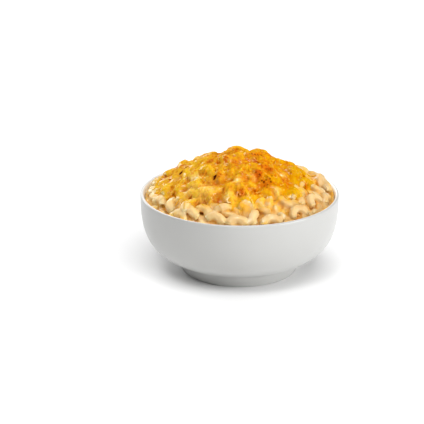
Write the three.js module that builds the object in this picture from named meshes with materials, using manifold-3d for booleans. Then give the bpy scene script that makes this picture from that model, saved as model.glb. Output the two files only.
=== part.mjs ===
// Macaroni and cheese heaped in a round white porcelain bowl.
// Millimetres, +Z up. The origin is the middle of the bowl's foot, on the table, and the
// front of the serving faces -Y. Three pieces: the bowl, the heap of elbow macaroni that
// fills it, and the sheet of melted cheese that covers the middle of the heap.
import * as THREE from 'three';
import { mergeVertices } from 'three/addons/utils/BufferGeometryUtils.js';
import Module from 'manifold-3d';

const wasm = await Module();
wasm.setup();

// Bowl
const RIM_RADIUS = 90;
const BOWL_HEIGHT = 72;
const FOOT_HEIGHT = 12.5;
const BELLY_DEPTH = 62.3; // where the outer curve would meet the axis, below the rim
const BELLY_DROP = 2.87; // how late the outer curve turns in
const BELLY_SQUARE = 4.65; // how upright its upper part stands
const LIP_THICKNESS = 3.2;
const WALL_THICKNESS = 4.2;
const BASE_THICKNESS = 5.5; // between the inner and outer curves on the axis
const FOOT_RADIUS = 53; // outer edge of the flat that stands on the table
const FOOT_LAND = 5.5; // width of that flat
const FOOT_ROUND = 1;
const FILLET = 3; // between the foot and the belly
const FILLET_STEP = 0.8;
const RECESS_DEPTH = 3.5; // hollow under the foot
const RECESS_ROUND = 2;
const TURNS = 48; // facets round the bowl and the heap

// Elbow macaroni, cooked and coated
const TUBE_RADIUS = 3.6;
const HOLE_RADIUS = 1.7;
const HOLE_DEPTH = 2.2;
const BEND_RADIUS = 8;
const SWEEP = 140; // degrees of arc from end to end
const SWEEP_SPREAD = 22;
const TUBE_SIDES = 6;
const TUBE_STEPS = 4;
const COATED_SIDES = 5;
const COATED_STEPS = 4;

// Heap of macaroni
const GAP = 0.3; // between pieces that touch
const HEAP_RADIUS = 85;
const HEAP_EDGE = -2; // heap surface at the wall, from the rim plane
const HEAP_RISE = 40.5;
const HEAP_POWER = 1.4; // 1 is a cone, 2 a dome
const WAVE = 0.8; // height of the slow waves on its surface
const LUMPS = [ // x, y, rise and spread of the lumps and dips on it
  [79, 16, 6.5, 13],
  [67, 27, -2.5, 7],
  [-50, 34, 2, 14],
  [-74, 26, 3, 13],
  [56, 37, 1.5, 12],
  [8, 15, -3.5, 6.5],
  [8.5, 29, -3.5, 7],
  [-19, 22, -2.5, 9],
  [-19, 40, -2, 9],
];
const OUTSIDE = 95; // past the bowl's wall
const HEADROOM = 150; // past the top of the heap
const CORE_DEPTH = 5.2; // plain core below the heap's surface
const SHELL_DEPTH = 10.5; // layer in which the outermost pieces lie
const PIECES = 210;
const SPREAD_RADIUS = 82;
const GOLDEN_ANGLE = 2.39996;
const WALL_PIECES = 22; // along the bowl's wall
const WALL_SPREAD = 78;
const STANDS_OUT = [-1.5, 1.8]; // how far a loose piece may lie under or over the surface
const CROWDED = 9; // a loose piece this near a placed one is left out
const SEED = 3;
const BEADS = 6; // spheres along a piece, by which pieces keep apart
const SETTLING_STEPS = 60;
const SETTLING_RATE = 0.8;
const SPIN_INERTIA = 20; // keeps a piece from spinning when one bead is pushed
const WALL_ROOM = 0.5; // for the square-cut ends, past the beads
const BARE_SHOWN = 40;
const BARE_APART = 8;
const COVERED_SHOWN = 35;
const COVERED_APART = 12.5;

// Melted cheese
const CHEESE_RADIUS = 66;
const CHEESE_TOP = 3.4; // its surface between the pieces, below the heap's surface
const CHEESE_UNDER = 8;
const COAT = 0.9; // cheese on a covered piece

// The pieces that stand out most, each lying where it shows: x, y, lift above the heap's
// surface of its middle, heading of its chord, roll from flat towards arched up, pitch of its
// chord, and degrees of arc.
const PLACED = [
  [-1.6, -78.5, -2.8, -2, 15, 0, 150], // wide arch at the front of the rim
  [28, -74.5, -3.0, 20, 15, 0, 150], // its neighbour on the right
  [52, -56.5, -2.4, 44, 20, 0, 165], // curl at the front right
  [66.5, -32, -2.0, 62, 10, 0, 170], // loop above it
  [75, 9, -2.5, 105, 30, 30, 130], // slender one on the right, standing proud
  [79, -14, -3.0, 75, 20, 0, 130],
  [-46, -55.5, -1.6, 58, 30, -14, 120], // cut end towards the front left
  [-54, -61.5, -3.2, -38, 20, 0, 140], // small arch below it
  [-31, -64, -2.8, -46, 5, 0, 120],
  [-21, -75, -3.4, -30, 25, 0, 130],
  [13, -74.5, -2.6, 84, 30, 0, 110],
  [-72, -31, -2.6, -52, 15, 0, 130],
  [-61, -44, -2.6, 74, 40, 0, 120],
  [-9.5, -57, -1.0, 84, -35, -20, 110], // hollow end that peeks out of the cheese
  [-3, 11, -1.6, 5, 60, 0, 165], // lumps along the top of the heap
  [18, 15, -1.0, -12, 60, 0, 140],
  [-51, 33, -1.8, 60, 50, 0, 140],
  [-31, -48, 0.2, -16, 10, 0, 130],
];

const radians = (degrees) => degrees * Math.PI / 180;

// A fixed draw for each piece and use, evenly spread between two values.
function draw(piece, use, low, high) {
  const wave = Math.sin(piece * 127.1 + use * 311.7 + SEED) * 43758.5453;
  return low + (high - low) * (wave - Math.floor(wave));
}

// ---- Solids -------------------------------------------------------------------------------

function toManifold(geometry) {
  geometry.deleteAttribute('normal');
  geometry.deleteAttribute('uv');
  const merged = mergeVertices(geometry, 1e-4);
  const corners = merged.index.array;
  const kept = [];
  for (let i = 0; i < corners.length; i += 3) {
    const [a, b, c] = corners.slice(i, i + 3);
    if (a !== b && b !== c && c !== a) kept.push(a, b, c);
  }
  const mesh = new wasm.Mesh({
    numProp: 3,
    vertProperties: new Float32Array(merged.attributes.position.array),
    triVerts: new Uint32Array(kept),
  });
  return new wasm.Manifold(mesh);
}

function toGeometry(manifold) {
  const mesh = manifold.getMesh();
  const geometry = new THREE.BufferGeometry();
  geometry.setAttribute('position', new THREE.BufferAttribute(mesh.vertProperties, 3));
  geometry.setIndex(new THREE.BufferAttribute(mesh.triVerts, 1));
  geometry.computeVertexNormals();
  return geometry;
}

function largest(manifold) {
  return manifold.decompose().reduce((a, b) => (a.volume() > b.volume() ? a : b));
}

// A lathe turned about Z: the profile is [radius, height] from the axis, round, and back to it.
function turned(profile, turns) {
  const points = profile.map(([r, z]) => new THREE.Vector2(r, z));
  return new THREE.LatheGeometry(points, turns).rotateX(Math.PI / 2);
}

// ---- Bowl ---------------------------------------------------------------------------------

function bellyRadius(depth) {
  const turnIn = 1 - (depth / BELLY_DEPTH) ** BELLY_DROP;
  return RIM_RADIUS * Math.max(turnIn, 0) ** (1 / BELLY_SQUARE);
}

const INNER_DEPTH = BELLY_DEPTH - BASE_THICKNESS;

function innerRadius(depth) {
  const turnIn = 1 - (depth / INNER_DEPTH) ** BELLY_DROP;
  const thickening = Math.min(depth / 10, 1) * (WALL_THICKNESS - LIP_THICKNESS);
  return (RIM_RADIUS - LIP_THICKNESS - thickening) * Math.max(turnIn, 0) ** (1 / BELLY_SQUARE);
}

// Depths of the points on a wall that would close at a full depth, evenly round its curve.
function wallDepths(from, to, full, count) {
  const angleAt = (depth) => Math.asin((depth / full) ** (BELLY_DROP / 2));
  return Array.from({ length: count + 1 }, (_, i) => {
    const angle = angleAt(from) + (angleAt(to) - angleAt(from)) * (i / count);
    return full * Math.sin(angle) ** (2 / BELLY_DROP);
  });
}

function bowlProfile() {
  const lipRadius = LIP_THICKNESS / 2;
  const footInner = FOOT_RADIUS - FOOT_LAND;
  const joint = BOWL_HEIGHT - FOOT_HEIGHT;
  const profile = [[0, RECESS_DEPTH], [footInner - RECESS_ROUND, RECESS_DEPTH]];
  profile.push([footInner - RECESS_ROUND / 4, RECESS_DEPTH - RECESS_ROUND * 3 / 4]);
  profile.push([footInner, 0], [FOOT_RADIUS - FOOT_ROUND, 0], [FOOT_RADIUS, FOOT_ROUND]);
  profile.push([bellyRadius(joint) - FILLET / 2, FOOT_HEIGHT - FILLET]);
  profile.push([bellyRadius(joint) + FILLET_STEP, FOOT_HEIGHT - FILLET_STEP]);
  for (const depth of wallDepths(lipRadius, joint - FILLET_STEP, BELLY_DEPTH, 8).reverse()) {
    profile.push([bellyRadius(depth), BOWL_HEIGHT - depth]);
  }
  for (const turn of [45, 90, 135]) {
    const r = RIM_RADIUS - lipRadius + lipRadius * Math.cos(radians(turn));
    profile.push([r, BOWL_HEIGHT - lipRadius + lipRadius * Math.sin(radians(turn))]);
  }
  return [...profile, ...innerProfile(0)];
}

// The inside of the bowl from the lip to the middle of its floor, or a clearance within it.
function innerProfile(clearance) {
  const points = wallDepths(LIP_THICKNESS / 2, INNER_DEPTH, INNER_DEPTH, 6).map((depth) => {
    return [innerRadius(depth) - clearance, BOWL_HEIGHT - depth + clearance];
  });
  points[points.length - 1][0] = 0;
  return points;
}

// ---- Form of the heap ---------------------------------------------------------------------

// Heap surface: a rounded cone, slow waves, and lumps where pieces have piled up.
function heapHeight(x, y) {
  const reach = Math.hypot(x, y) / HEAP_RADIUS;
  const broad = Math.sin(0.13 * x + 1.9) * Math.cos(0.11 * y - 0.7);
  const waves = broad + 0.6 * Math.sin(0.21 * y + 0.08 * x);
  let height = BOWL_HEIGHT + HEAP_EDGE + HEAP_RISE * (1 - reach ** HEAP_POWER) + WAVE * waves;
  for (const [lumpX, lumpY, rise, spread] of LUMPS) {
    height += rise * Math.exp(-(((x - lumpX) ** 2 + (y - lumpY) ** 2) / spread ** 2));
  }
  return height;
}

function heapNormal(x, y) {
  const r = Math.max(Math.hypot(x, y), 1);
  const slope = (HEAP_RISE * HEAP_POWER / HEAP_RADIUS) * (r / HEAP_RADIUS) ** (HEAP_POWER - 1);
  return new THREE.Vector3(slope * x / r, slope * y / r, 1).normalize();
}

// The cheese has run further on the left, and its edge wanders.
function cheeseReach(angle) {
  const left = 9 * Math.max(Math.cos(angle - radians(172)), 0) ** 4;
  const wander = 2.2 * Math.sin(5 * angle + 0.6) + 1.6 * Math.sin(9 * angle + 2.1);
  return CHEESE_RADIUS + left + wander;
}

const underCheese = (x, y) => Math.hypot(x, y) < cheeseReach(Math.atan2(y, x));

// ---- Macaroni pieces ----------------------------------------------------------------------

// A piece lies on the heap's surface by its middle. Its frame is chord, bulge and normal.
function makePiece([x, y, lift, heading, roll, pitch, sweep], fixed, stands = 0) {
  const out = heapNormal(x, y);
  const chord = new THREE.Vector3(Math.cos(radians(heading)), Math.sin(radians(heading)), 0);
  chord.addScaledVector(out, -chord.dot(out)).normalize();
  const side = new THREE.Vector3().crossVectors(out, chord);
  const tilted = chord.clone().multiplyScalar(Math.cos(radians(pitch)));
  tilted.addScaledVector(out, Math.sin(radians(pitch)));
  const rise = new THREE.Vector3().crossVectors(tilted, side);
  const bulge = side.multiplyScalar(Math.cos(radians(roll)));
  bulge.addScaledVector(rise, Math.sin(radians(roll)));
  const middle = new THREE.Vector3(x, y, heapHeight(x, y)).addScaledVector(out, lift);
  return { middle, chord: tilted, bulge, sweep: radians(sweep), fixed, stands };
}

// Loose pieces are spread evenly in a spiral of sunflower seeds, each fourth a layer deeper,
// at any heading: most lie flat, some arch up and some lie on their back.
function scatteredPiece(i) {
  const r = SPREAD_RADIUS * Math.sqrt((i + 0.5) / PIECES) + draw(i, 0, -1.5, 1.5);
  const angle = i * GOLDEN_ANGLE + draw(i, 1, -0.03, 0.03);
  const lift = i % 4 === 3 ? draw(i, 2, -8, -6.5) : draw(i, 2, -4.4, -2.4);
  const heading = draw(i, 3, 0, 360);
  const kind = draw(i, 4, 0, 1);
  let roll = draw(i, 5, -20, 35);
  if (kind > 0.66) roll = draw(i, 5, 45, 100);
  if (kind > 0.88) roll = draw(i, 5, -100, -40);
  const pitch = draw(i, 6, -12, 12);
  const sweep = SWEEP + draw(i, 7, -SWEEP_SPREAD, SWEEP_SPREAD);
  const [x, y] = [r * Math.cos(angle), r * Math.sin(angle)];
  return makePiece([x, y, lift, heading, roll, pitch, sweep], false, draw(i, 8, ...STANDS_OUT));
}

// Others lie along the bowl's wall.
function wallPiece(i) {
  const angle = (i + 0.5) * (2 * Math.PI / WALL_PIECES) + draw(i, 41, -0.08, 0.08);
  const lift = draw(i, 42, -6.5, -4);
  const heading = angle * 180 / Math.PI + 90 + draw(i, 43, -25, 25);
  const roll = draw(i, 44, -20, 45);
  const pitch = draw(i, 45, -12, 12);
  const [x, y] = [WALL_SPREAD * Math.cos(angle), WALL_SPREAD * Math.sin(angle)];
  return makePiece([x, y, lift, heading, roll, pitch, SWEEP], false);
}

// Middle of the arc's own points, measured from its centre of curvature.
const arcOffset = (sweep) => BEND_RADIUS * Math.sin(sweep / 2) / (sweep / 2);

function pointOn(piece, turn, outwards = 0) {
  const along = (BEND_RADIUS + outwards) * Math.sin(turn);
  const over = (BEND_RADIUS + outwards) * Math.cos(turn) - arcOffset(piece.sweep);
  return piece.middle.clone().addScaledVector(piece.chord, along).addScaledVector(piece.bulge, over);
}

function beadsOf(piece) {
  return Array.from({ length: BEADS }, (_, k) => {
    const turn = piece.sweep * ((k + 0.5) / BEADS - 0.5);
    return pointOn(piece, turn);
  });
}

// How far each bead has to move to be clear of the other pieces, the wall and the shell.
function pushesOn(beads, pieces) {
  const pushes = beads.map(() => new THREE.Vector3());
  for (let a = 0; a < beads.length; a++) {
    const pieceA = Math.floor(a / BEADS);
    for (let b = (pieceA + 1) * BEADS; b < beads.length; b++) {
      const pieceB = Math.floor(b / BEADS);
      const apart = beads[a].distanceTo(beads[b]);
      if (apart >= 2 * TUBE_RADIUS || apart < 1e-6) continue;
      const step = new THREE.Vector3().subVectors(beads[a], beads[b]).divideScalar(apart);
      step.multiplyScalar(2 * TUBE_RADIUS - apart);
      pushes[a].addScaledVector(step, pieces[pieceB].fixed ? 1 : 0.5);
      pushes[b].addScaledVector(step, pieces[pieceA].fixed ? -1 : -0.5);
    }
  }
  beads.forEach((bead, i) => {
    const out = heapNormal(bead.x, bead.y);
    const height = (bead.z - heapHeight(bead.x, bead.y)) * out.z;
    const proud = Math.max(height + TUBE_RADIUS - pieces[Math.floor(i / BEADS)].stands, 0);
    const sunk = Math.max(-SHELL_DEPTH + TUBE_RADIUS - height, 0);
    pushes[i].addScaledVector(out, sunk - proud);
    const r = Math.hypot(bead.x, bead.y);
    const depth = Math.max(BOWL_HEIGHT - bead.z, LIP_THICKNESS / 2);
    const room = innerRadius(depth) - TUBE_RADIUS - GAP - WALL_ROOM;
    if (r > room) pushes[i].add(new THREE.Vector3(bead.x, bead.y, 0).multiplyScalar(room / r - 1));
  });
  return pushes;
}

function movePiece(piece, beads, pushes) {
  const shift = new THREE.Vector3();
  const turn = new THREE.Vector3();
  let touched = 0;
  let inertia = SPIN_INERTIA;
  beads.forEach((bead, k) => {
    if (pushes[k].lengthSq() < 1e-12) return;
    const arm = bead.clone().sub(piece.middle);
    shift.add(pushes[k]);
    turn.add(new THREE.Vector3().crossVectors(arm, pushes[k]));
    inertia += arm.lengthSq();
    touched += 1;
  });
  if (!touched) return;
  piece.middle.addScaledVector(shift, SETTLING_RATE / Math.max(touched, 2));
  turn.divideScalar(inertia);
  const angle = turn.length();
  if (angle < 1e-9) return;
  turn.divideScalar(angle);
  piece.chord.applyAxisAngle(turn, angle);
  piece.bulge.applyAxisAngle(turn, angle);
}

function settledPieces() {
  const pieces = PLACED.map((row) => makePiece(row, true));
  const scattered = Array.from({ length: PIECES }, (_, i) => scatteredPiece(i));
  const walled = Array.from({ length: WALL_PIECES }, (_, i) => wallPiece(i));
  for (const piece of [...scattered, ...walled]) {
    const crowded = pieces.some((other) => {
      return other.fixed && other.middle.distanceTo(piece.middle) < CROWDED;
    });
    if (!crowded) pieces.push(piece);
  }
  for (let step = 0; step < SETTLING_STEPS; step++) {
    const beads = pieces.flatMap(beadsOf);
    const pushes = pushesOn(beads, pieces);
    pieces.forEach((piece, i) => {
      if (piece.fixed) return;
      const own = i * BEADS;
      movePiece(piece, beads.slice(own, own + BEADS), pushes.slice(own, own + BEADS));
    });
  }
  return pieces;
}

// An elbow is a straight turned tube with a hollow in each end, bent round its arc.
function elbow(piece, radius, hollowEnds, sides, steps) {
  const half = piece.sweep / 2;
  const length = BEND_RADIUS * piece.sweep;
  const dimple = HOLE_DEPTH / length;
  const profile = hollowEnds ? [[0, dimple], [HOLE_RADIUS, dimple], [HOLE_RADIUS, 0]] : [[0, 0]];
  for (let i = 0; i <= steps; i++) profile.push([radius, i / steps]);
  if (hollowEnds) profile.push([HOLE_RADIUS, 1], [HOLE_RADIUS, 1 - dimple], [0, 1 - dimple]);
  else profile.push([0, 1]);
  const geometry = turned(profile, sides);
  const position = geometry.attributes.position;
  const across = new THREE.Vector3().crossVectors(piece.chord, piece.bulge);
  for (let i = 0; i < position.count; i++) {
    const turn = half * (2 * position.getZ(i) - 1);
    const point = pointOn(piece, turn, position.getX(i)).addScaledVector(across, position.getY(i));
    position.setXYZ(i, point.x, point.y, point.z);
  }
  return toManifold(geometry);
}

// Height of a piece's highest bead above the heap's surface, square to it.
function exposure(piece) {
  return Math.max(...beadsOf(piece).map((bead) => {
    return (bead.z - heapHeight(bead.x, bead.y)) * heapNormal(bead.x, bead.y).z;
  }));
}

// The pieces that show most, none close beside another.
function mostExposed(pieces, count, apart) {
  const shown = [];
  for (const piece of [...pieces].sort((a, b) => exposure(b) - exposure(a))) {
    const near = shown.some((other) => other.middle.distanceTo(piece.middle) < apart);
    if (!near && shown.length < count) shown.push(piece);
  }
  return shown;
}

// ---- Heap and cheese ----------------------------------------------------------------------

// The space inside the bowl, a clearance from its wall and floor, carried on up past the heap.
function insideBowl() {
  const points = innerProfile(GAP).reverse();
  const mouth = points[points.length - 1][0];
  return toManifold(turned([...points, [mouth, HEADROOM], [0, HEADROOM]], TURNS));
}

// Everything under a surface that lies some depth below the heap's, or everything over it.
function halfSpace(depth, under) {
  const surface = [0, 24, 46, 66, OUTSIDE].map((r) => [r, 1]);
  const closing = [[OUTSIDE, 0], [0, 0]];
  const roof = [[OUTSIDE, HEADROOM], [0, HEADROOM]];
  const profile = under ? [...surface, ...closing].reverse() : [...surface, ...roof];
  const geometry = turned(profile, TURNS / 2);
  const position = geometry.attributes.position;
  for (let i = 0; i < position.count; i++) {
    if (Math.abs(position.getZ(i) - 1) > 0.1) continue;
    position.setZ(i, heapHeight(position.getX(i), position.getY(i)) - depth);
  }
  return toManifold(geometry);
}

// Sheet of cheese that follows the heap, grown by a clearance for cutting its neighbour.
function cheeseSheet(grown) {
  const rings = [0, 0.33, 0.66, 1];
  const under = rings.map((r) => [r, 0]);
  const over = rings.map((r) => [r, 1]).reverse();
  const geometry = turned([...under, ...over], TURNS);
  const position = geometry.attributes.position;
  for (let i = 0; i < position.count; i++) {
    const angle = Math.atan2(position.getY(i), position.getX(i));
    const r = Math.hypot(position.getX(i), position.getY(i)) * (cheeseReach(angle) + grown);
    const x = r * Math.cos(angle);
    const y = r * Math.sin(angle);
    const depth = position.getZ(i) > 0.5 ? CHEESE_TOP - grown : CHEESE_UNDER + grown;
    position.setXYZ(i, x, y, heapHeight(x, y) - depth);
  }
  return toManifold(geometry);
}

function cheeseSolid(covered, grown) {
  const above = halfSpace((CHEESE_TOP + CHEESE_UNDER) / 2 + grown, false);
  let solid = cheeseSheet(grown);
  for (const piece of covered) {
    const coated = elbow(piece, TUBE_RADIUS + COAT + grown, false, COATED_SIDES, COATED_STEPS);
    solid = solid.add(coated.intersect(above));
  }
  return solid;
}

function heapSolid(bare, covered) {
  let solid = halfSpace(CORE_DEPTH, true);
  for (const piece of bare) {
    solid = solid.add(elbow(piece, TUBE_RADIUS, true, TUBE_SIDES, TUBE_STEPS));
  }
  return solid.intersect(insideBowl()).subtract(cheeseSolid(covered, GAP));
}

// ---- Assembly -----------------------------------------------------------------------------

const porcelain = new THREE.MeshStandardMaterial({ color: 0xf1f1ef, roughness: 0.22, metalness: 0 });
const pasta = new THREE.MeshStandardMaterial({ color: 0xf0c883, roughness: 0.4, metalness: 0 });
const cheese = new THREE.MeshStandardMaterial({ color: 0xec9c22, roughness: 0.35, metalness: 0 });

function part(name, manifold, material) {
  const mesh = new THREE.Mesh(toGeometry(manifold), material);
  mesh.name = name;
  return mesh;
}

const pieces = settledPieces();
const isCovered = (piece) => underCheese(piece.middle.x, piece.middle.y);
const covered = mostExposed(pieces.filter(isCovered), COVERED_SHOWN, COVERED_APART);
const uncovered = pieces.filter((piece) => !isCovered(piece));
const bare = mostExposed(uncovered, BARE_SHOWN, BARE_APART);

const serving = new THREE.Group();
serving.add(part('bowl', toManifold(turned(bowlProfile(), TURNS)), porcelain));
serving.add(part('macaroni', largest(heapSolid(bare, covered)), pasta));
serving.add(part('melted_cheese', largest(cheeseSolid(covered, 0)), cheese));

export default serving;
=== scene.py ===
"""Macaroni and cheese heaped in a round white porcelain bowl.

The bowl, the heap of elbow macaroni in its cream sauce, and the melted cheese over the middle
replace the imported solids. Shapes are worked out in millimetres by the same rules as the solids
and become metres when a mesh is made.
"""

import math

import bpy
import numpy as np
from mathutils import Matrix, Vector, noise


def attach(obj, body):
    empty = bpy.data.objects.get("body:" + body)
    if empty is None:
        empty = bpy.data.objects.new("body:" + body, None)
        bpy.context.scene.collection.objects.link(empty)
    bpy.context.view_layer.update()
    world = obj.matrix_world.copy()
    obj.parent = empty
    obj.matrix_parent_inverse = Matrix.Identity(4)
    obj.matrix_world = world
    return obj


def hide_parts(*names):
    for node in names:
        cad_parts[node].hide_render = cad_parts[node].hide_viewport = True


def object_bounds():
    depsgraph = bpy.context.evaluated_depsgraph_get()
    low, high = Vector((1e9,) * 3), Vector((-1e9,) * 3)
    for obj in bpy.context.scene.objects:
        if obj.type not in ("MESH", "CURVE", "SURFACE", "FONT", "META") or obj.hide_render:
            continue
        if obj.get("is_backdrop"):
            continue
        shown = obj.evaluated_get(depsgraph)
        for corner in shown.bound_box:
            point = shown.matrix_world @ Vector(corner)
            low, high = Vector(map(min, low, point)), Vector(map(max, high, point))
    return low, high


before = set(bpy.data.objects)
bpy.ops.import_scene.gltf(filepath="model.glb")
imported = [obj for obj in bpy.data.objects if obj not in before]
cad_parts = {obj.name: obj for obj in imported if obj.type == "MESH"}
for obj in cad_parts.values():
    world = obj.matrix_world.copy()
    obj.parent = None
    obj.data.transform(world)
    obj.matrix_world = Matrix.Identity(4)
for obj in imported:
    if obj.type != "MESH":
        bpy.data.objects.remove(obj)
CAD_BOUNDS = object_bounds()

MM = 0.001

# Camera
IMAGE_SIZE = 424
SENSOR = 36.0
FOCAL_PX = 1640.0
CAMERA_DISTANCE = 1.5
CAMERA_ELEVATION = 20.6
TARGET = Vector((0.0, 0.0, 0.036))
TARGET_PX = (239.4, 228.6)  # where the target lies in the picture

# Lights: name, bearing, elevation and width in degrees, and strength
LIGHTS = (
    ("key", 64.0, 16.0, 36.0, 2.4),
    ("front_top", 14.0, 61.0, 40.0, 1.3),
    ("top", 0.0, 88.0, 75.0, 0.8),
    ("back_left", -150.0, 28.0, 50.0, 1.6),
    ("glints", -28.0, 56.0, 18.0, 0.55),
)
WORLD_STRENGTH = 0.14
FLOOR_REACH = 4000.0

# Bowl, as in the solids
RIM_RADIUS = 90.0
BOWL_HEIGHT = 72.0
FOOT_HEIGHT = 12.5
BELLY_DEPTH = 62.3  # where the outer curve would meet the axis, below the rim
BELLY_DROP = 2.87  # how late the outer curve turns in
BELLY_SQUARE = 4.65  # how upright its upper part stands
LIP_THICKNESS = 3.2
WALL_THICKNESS = 4.2
BASE_THICKNESS = 5.5
FOOT_RADIUS = 53.0
FOOT_LAND = 5.5  # width of the flat that it stands on
FOOT_ROUND = 1.2  # a little more than in the solids
FILLET = 3.0
RECESS_DEPTH = 3.5
INNER_DEPTH = BELLY_DEPTH - BASE_THICKNESS
BOWL_TURNS = 224

# Elbow macaroni and its heap, as in the solids
TUBE_RADIUS = 3.6
BEND_RADIUS = 8.0
SWEEP = 140.0
SWEEP_SPREAD = 22.0
GAP = 0.3
HEAP_RADIUS = 85.0
HEAP_EDGE = -2.0  # its surface at the wall, from the rim plane
HEAP_RISE = 40.5
HEAP_POWER = 1.4  # 1 is a cone, 2 a dome
WAVE = 0.8
LUMPS = (  # x, y, rise and spread of its lumps and dips
    (79.0, 16.0, 6.5, 13.0),
    (67.0, 27.0, -2.5, 7.0),
    (-50.0, 34.0, 2.0, 14.0),
    (-74.0, 26.0, 3.0, 13.0),
    (56.0, 37.0, 1.5, 12.0),
    (8.0, 15.0, -3.5, 6.5),
    (8.5, 29.0, -3.5, 7.0),
    (-19.0, 22.0, -2.5, 9.0),
    (-19.0, 40.0, -2.0, 9.0),
)
STANDS_OUT = (-1.5, 1.8)  # how far a loose piece may lie under or over the heap's surface
OUTER_LIFT = (-4.4, -2.4)
LOWER_LIFT = (-8.0, -6.5)  # of each fourth piece
WALL_LIFT = (-6.5, -4.0)
RADIUS_SPREAD = 1.5
ANGLE_SPREAD = 0.03
PITCH_SPREAD = 12.0
ROLLS = ((0.66, -20, 35), (0.88, 45, 100), (1.0, -100, -40))  # up to which draw, and the range
WALL_ANGLE_SPREAD = 0.08
WALL_HEADING_SPREAD = 25.0
WALL_ROLL = (-20, 45)
SHELL_DEPTH = 10.5  # layer in which the outermost pieces lie
PIECES = 210
WALL_PIECES = 22
WALL_SPREAD = 78.0
SPREAD_RADIUS = 82.0
GOLDEN_ANGLE = 2.39996
CROWDED = 9.0  # a loose piece this near a placed one is left out
SEED = 3.0
BEADS = 6  # spheres along a piece, by which pieces keep apart
SETTLING_STEPS = 60
SETTLING_RATE = 0.8
SPIN_INERTIA = 20.0
WALL_ROOM = 0.5
PLACED = (  # by the photo: x, y, lift, heading, roll, pitch and sweep
    (-1.6, -78.5, -2.8, -2, 15, 0, 150),
    (28, -74.5, -3.0, 20, 15, 0, 150),
    (52, -56.5, -2.4, 44, 20, 0, 165),
    (66.5, -32, -2.0, 62, 10, 0, 170),
    (75, 9, -2.5, 105, 30, 30, 130),
    (79, -14, -3.0, 75, 20, 0, 130),
    (-46, -55.5, -1.6, 58, 30, -14, 120),
    (-54, -61.5, -3.2, -38, 20, 0, 140),
    (-31, -64, -2.8, -46, 5, 0, 120),
    (-21, -75, -3.4, -30, 25, 0, 130),
    (13, -74.5, -2.6, 84, 30, 0, 110),
    (-72, -31, -2.6, -52, 15, 0, 130),
    (-61, -44, -2.6, 74, 40, 0, 120),
    (-9.5, -57, -1.0, 84, -35, -20, 110),
    (-3, 11, -1.6, 5, 60, 0, 165),
    (18, 15, -1.0, -12, 60, 0, 140),
    (-51, 33, -1.8, 60, 50, 0, 140),
    (-31, -48, 0.2, -16, 10, 0, 130),
)

# How the meshes of the pieces differ from the plainer tubes of the solids
HOLE_RADIUS = 2.1
HOLE_DEPTH = 5.0
TUBE_SIDES = 18
TUBE_RINGS = 15
SQUASH = (0.74, 0.97)  # a piece's thickness against its width
GIRTH = (0.94, 1.05)
RIDGES = 5  # faint folds along a piece
RIDGE_HEIGHT = 0.17
RIM_ANGLES = (0.6, 1.57, 2.5)

# Pieces that lie on the others at the far right, and by the wall on the left
ON_TOP = (
    (-80.0, 3.0, -2.6, 92, 15, 0, 130),
    (-77.5, 20.0, -2.8, 76, 15, 0, 130),
    (-77.0, -17.0, -2.8, 104, 15, 0, 130),
    (70.5, 14.0, -2.0, -58, 20, 0, 150),
    (79.0, 6.0, -1.1, -70, 15, -6, 135),
)

# Pieces under the outermost ones, which show only in the gaps
FIRST_UNDER = 1000  # the first one's number for its draws
UNDER_PIECES = 210
UNDER_LIFT = (-11.5, -8.0)
UNDER_SHELL = (4.6, 19.0)
UNDER_STEPS = 36
UNDER_WALL_PIECES = 26
UNDER_WALL_STANDS = 2.8  # how much higher than the rest the pieces by the wall may lie
UNDER_WALL_DEEPER = 2.0
UNDER_SHIFT, UNDER_WALL_SHIFT = 0.37, 0.61  # from the outer layer's places
CORE_DEPTH = 6.9
WALL_CORE_DEPTH = 5.8
BRIM = (64.0, 84.0)  # between which radii the core rises to its depth by the wall
COVERED = 9.0  # how far inside the cheese's edge no elbow's own mesh is needed

# Cheese, as in the solids, and how it and the sauce cling
CHEESE_RADIUS = 66.0
LEFT_BEARING = 172.0  # which way the cheese reaches furthest, in degrees
LEFT_REACH = 9.0
WANDER = ((2.2, 5.0, 0.6), (1.6, 9.0, 2.1))  # size, number and phase of the waves of its edge
SAUCE_BLEND = 0.9
SAUCE_COAT = 0.35
SAUCE_POOLS = 0.55
SAUCE_DRIPS = 0.25
SAUCE_ENDS = (0.85, 1.75)  # how far short of a filled and an open end it stops, in tube radii
CHEESE_ENDS = (0.9, 0.9)
OPEN_SHARE = 0.35
WALL_FILM = 0.7  # sauce on the bowl's wall, below the heap's surface
WALL_FILM_END = 4.0
WALL_FILM_FADE = (-5.0, 0.5)
DEEPEST = 50.0
CHEESE_BLEND = 1.5
CHEESE_COAT = 0.5
CHEESE_FILM = 0.2  # the least that lies over the sauce
CHEESE_FEATHER = (-3.0, 8.0)  # how far inside its edge it begins, and has its full thickness
EDGE_FALL = 2.4  # how far under the sauce's surface the cheese ends
CHEESE_UNDERSIDE = 6.5
SHEET_DEPTH = 1.9  # how far the cheese sags between the pieces that it covers
SHEET_SAG = 1.6
SHEET_BLEND = 0.8
SHEET_RIM = 16.0  # how far inside the edge it starts to sag more
SHEET_RIM_SAG = 9.0
WALL_CLEARANCE = 0.4
RUNS_BEARING = 176.0  # which way the cheese runs out over the pasta, in degrees
RUNS_REACH = 7.0
GLAZE_BEARING = 165.0  # which way it stains the pasta furthest
GLAZE_REACH = 8.0
GLAZE_REACH_LEFT = 13.0  # how much further that way
BAKED = (80.0, 84.0)  # between which radii the stain of the pasta's own edge sets in

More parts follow.
